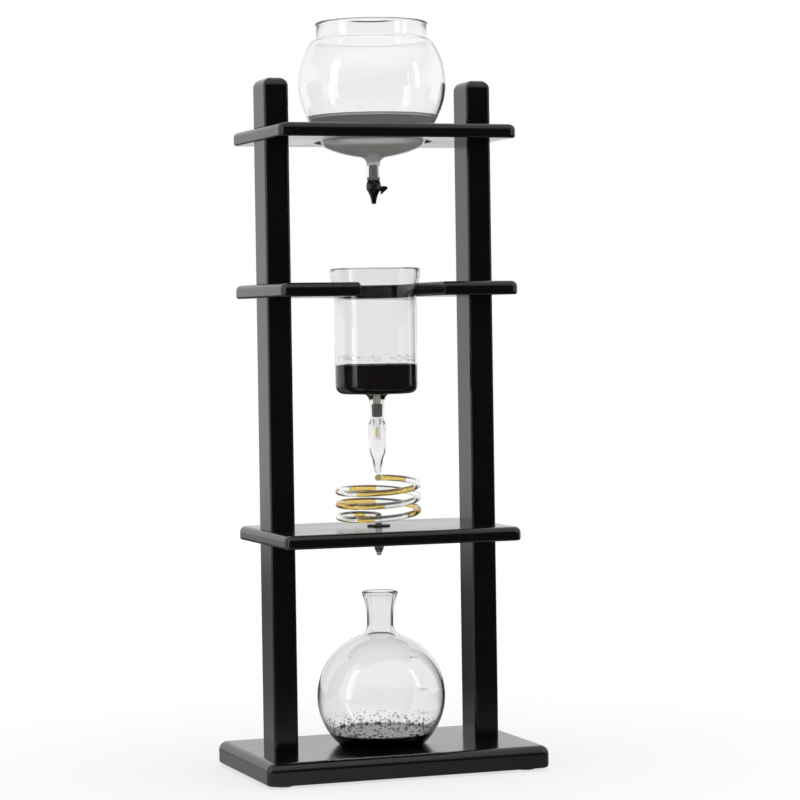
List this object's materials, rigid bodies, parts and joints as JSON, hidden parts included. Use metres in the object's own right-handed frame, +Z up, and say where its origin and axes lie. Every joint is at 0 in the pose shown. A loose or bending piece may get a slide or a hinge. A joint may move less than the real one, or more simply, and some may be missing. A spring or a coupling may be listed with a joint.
{
  "type": "cold drip coffee tower",
  "caption": "Tall two-post stand that holds a water globe with a drip tap, a brew chamber, a glass coil and a serving flask in line, for slow cold drip coffee.",
  "frame": {"origin": "on the ground under the middle of the base board", "axes": "+Z up the tower, +X to the right-hand post, -Y to the front, where the chamber and the flask draw out"},
  "size_m": [0.2784, 0.1714, 0.709],
  "materials": {
    "black_lacquer": "gloss black lacquer over wood",
    "clear_glass": "clear polished glass",
    "gunmetal": "dark polished metal",
    "clear_silicone": "translucent silicone",
    "grey_rubber": "satin rubber",
    "black_rubber": "satin rubber",
    "porous_ceramic": "matt porous ceramic",
    "zinc_steel": "zinc plated",
    "brass": "machined brass",
    "beech": "plain beech dowel"
  },
  "bodies": {
    "frame": {"base_board": "black_lacquer", "lower_shelf": "black_lacquer", "middle_shelf": "black_lacquer", "top_shelf": "black_lacquer", "left_post_lower": "black_lacquer", "left_post_middle": "black_lacquer", "left_post_upper": "black_lacquer", "left_post_top": "black_lacquer", "right_post_lower": "black_lacquer", "right_post_middle": "black_lacquer", "right_post_upper": "black_lacquer", "right_post_top": "black_lacquer", "foot_pads": "black_rubber", "tie_rods": "zinc_steel", "rod_washers": "zinc_steel", "rod_nuts": "zinc_steel", "post_inserts": "brass", "shelf_dowels": "beech", "base_dowels": "beech", "coil_grommet": "black_rubber"},
    "water_vessel": {"water_globe": "clear_glass", "valve_stopper": "clear_silicone", "valve_body": "gunmetal"},
    "tap_key": {"valve_key": "gunmetal"},
    "chamber": {"brew_chamber": "clear_glass"},
    "filter": {"ceramic_filter": "porous_ceramic", "filter_sleeve": "grey_rubber"},
    "coil": {"drip_coil": "clear_glass"},
    "flask": {"serving_flask": "clear_glass"}
  },
  "joints": [
    {"name": "globe_lift", "type": "slide", "parent": "frame", "child": "water_vessel", "axis": [0, 0, 1], "range_m": [0, 0.13]},
    {"name": "valve_turn", "type": "hinge", "parent": "water_vessel", "child": "tap_key", "pos_m": [0, 0, 0.55172], "axis": [1, 0, 0], "range_deg": [0, 90]},
    {"name": "chamber_slide", "type": "slide", "parent": "frame", "child": "chamber", "axis": [0, -1, 0], "range_m": [0, 0.16]},
    {"name": "filter_lift", "type": "slide", "parent": "chamber", "child": "filter", "axis": [0, 0, 1], "range_m": [0, 0.15]},
    {"name": "coil_lift", "type": "slide", "parent": "frame", "child": "coil", "axis": [0, 0, 1], "range_m": [0, 0.032]},
    {"name": "flask_slide", "type": "slide", "parent": "frame", "child": "flask", "axis": [0, -1, 0], "range_m": [0, 0.16]}
  ],
  "couplings": [
    {"joint": "coil_lift", "follows": "chamber_slide", "ratio": 0.2}
  ]
}
